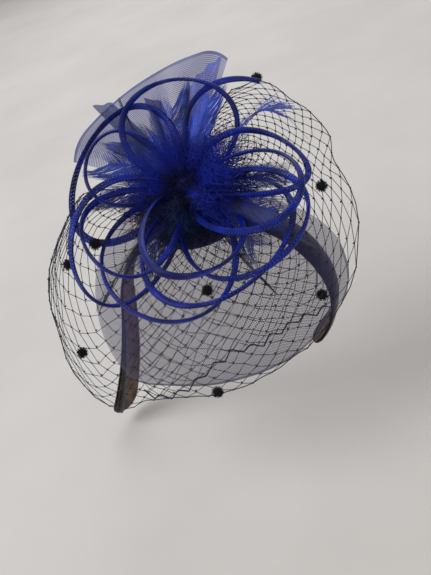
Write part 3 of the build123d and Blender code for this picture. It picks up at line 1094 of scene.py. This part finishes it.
TUFTS = (
    Marabou("marabou_left", DOWN_BRIGHT, 190, 38, -2, 58, (95, 215), 11),
    Marabou("marabou_top", DOWN_BRIGHT, 90, 34, 8, 66, (35, 100), 16),
    Marabou("marabou_right", DOWN_BRIGHT, 200, 44, -4, 54, (-62, 40), 12),
    # The darker tufts are painted shade: on the front, underneath and in the flower's middle.
    Marabou("marabou_dark", DOWN_SHADED, 190, 38, -8, 58, (200, 312), 13),
    Marabou("marabou_under", DOWN_SHADED, 260, 50, -8, 14, (-70, 235), 17),
    Marabou("marabou_crown", DOWN_SHADED, 60, 19, 45, 90, (0, 360), 15),
    # teal-tinted strands as a painted highlight
    Marabou("marabou_teal", DOWN_TEAL_HIGHLIGHT, 30, 33, 14, 52, (258, 282), 14),
)


def dress_cad_nodes() -> None:
    """Gives the carried-over CAD nodes their finishes."""
    finishes = {"base_felt": BASE_FELT, "base_buckram": BUCKRAM, "stem": GATHERS, "flower_knot": GATHERS,
                "stem_binding": THREAD, "band_stitches": THREAD, "band_core_crown": CORE, "band_core_left": CORE,
                "band_core_right": CORE}
    for name, finish in finishes.items():
        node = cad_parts[name]
        if node.material_slots:
            node.material_slots[0].material = finish.material()
        else:
            node.data.materials.append(finish.material())


@dataclass
class Studio:
    """Floor, soft lights and the camera."""

    yaw: float = 12.0            # how far the displayed headpiece was turned
    roll: float = 19.0           # and how far it had slipped down on its left
    pitch: float = 35.0          # the camera looks down by this much
    lens: float = 52.3
    camera_mm: tuple[float, float, float] = (0.0, 0.0, 451.0)
    crown_mm: tuple[float, float, float] = (0.0, 427.0, 128.0)
    crown_shift_mm: float = 13.0
    crown_lift_mm: float = 8.0

    def pose(self) -> Matrix:
        """Turns the headpiece's own directions to the display's, level with its table."""
        turn = Matrix.Rotation(math.radians(-self.yaw), 3, "Z")
        slip = Matrix.Rotation(math.radians(-self.roll), 3, "Y")
        return turn @ slip

    def camera(self) -> None:
        """Places the camera."""
        pose = self.pose()
        origin = Vector(self.crown_mm) + pose @ Vector((self.crown_shift_mm, 0.0, self.crown_lift_mm))
        spot = pose.transposed() @ (Vector(self.camera_mm) - origin) * MM
        pitch = math.radians(self.pitch)
        right = Vector((1.0, 0.0, 0.0))
        look = Vector((0.0, math.cos(pitch), -math.sin(pitch)))
        axes = Matrix((right, right.cross(look), -look)).transposed()
        data = bpy.data.cameras.new("studio_camera")
        data.lens = self.lens
        data.sensor_width = 36.0
        data.clip_start = 0.01
        holder = bpy.data.objects.new("studio_camera", data)
        holder.matrix_world = Matrix.Translation(spot) @ (pose.transposed() @ axes).to_4x4()
        bpy.context.scene.collection.objects.link(holder)
        bpy.context.scene.camera = holder

    def lamp(self, name: str, spot: Vector, size: float, power: float, tint: str) -> None:
        """Adds one soft square light that faces the flower."""
        data = bpy.data.lights.new(name, "AREA")
        data.size = size
        data.energy = power
        data.color = srgb(tint)[:3]
        holder = bpy.data.objects.new(name, data)
        holder.location = spot
        holder.rotation_mode = "QUATERNION"
        holder.rotation_quaternion = (HUB - spot).to_track_quat("-Z", "Y")
        bpy.context.scene.collection.objects.link(holder)

    def build(self) -> None:
        """Makes the whole studio."""
        form = bmesh.new()
        bmesh.ops.create_grid(form, x_segments=8, y_segments=8, size=3.0)
        low = CAD_BOX[0].z - 8 * MM
        bmesh.ops.translate(form, verts=form.verts, vec=(0.0, 0.0, low))
        floor = link(mesh_of(form, "floor"), "floor", FLOOR.material(), shade_smooth=False)
        self.lamp("window_light", Vector((-1.3, -0.8, 1.8)), 1.5, 32.0, "#f4f7ff")
        self.lamp("fill_light", Vector((1.6, -1.4, 1.2)), 2.0, 12.0, "#fff6ea")
        self.lamp("back_light", Vector((-0.4, 1.8, 1.3)), 1.6, 14.0, "#f2f6ff")
        world = bpy.data.worlds.new("studio_world")
        world.use_nodes = True
        world.node_tree.nodes["Background"].inputs["Color"].default_value = srgb("#e6e9ee")
        world.node_tree.nodes["Background"].inputs["Strength"].default_value = 0.5
        bpy.context.scene.world = world
        self.camera()
        scene = bpy.context.scene
        scene.view_settings.view_transform = "Standard"
        scene.cycles.transparent_max_bounces = 48


def main() -> None:
    """Builds the headpiece and its studio."""
    logging.basicConfig(level=logging.INFO, format="%(name)s: %(message)s")
    for loop in LOOPS:
        LOG.info("loop %s", loop.build().name)
    for feather in FEATHERS:
        LOG.info("feather %s", feather.build().name)
    tufts = [tuft.build() for tuft in TUFTS]
    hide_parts("marabou_puff")
    LOG.info("marabou tufts %d", len(tufts))
    for sheet in (CrinSkirt(), CrinFan(), PleatedFold(),
                  RibbonTail("ribbon_tail_left", "crin_tail_left", 129, 8, 83, 11),
                  RibbonTail("ribbon_tail_top", "crin_tail_top", 107, 12, 61, 9)):
        LOG.info("sheet %s", sheet.build().name)
    for net in (Veil(), UnderNet()):
        LOG.info("net %s", [piece.name for piece in net.build()])
    LOG.info("dots %s", ChenilleDots().build().name)
    for half in (BandHalf(Side.LEFT, 73.0, -412.0, 103.0, twist=-27.0), BandHalf(Side.RIGHT, 77.0, 45.0, 57.0)):
        LOG.info("band %s", [piece.name for piece in half.build()])
    dress_cad_nodes()
    Studio().build()


if __name__ == "__main__":
    main()
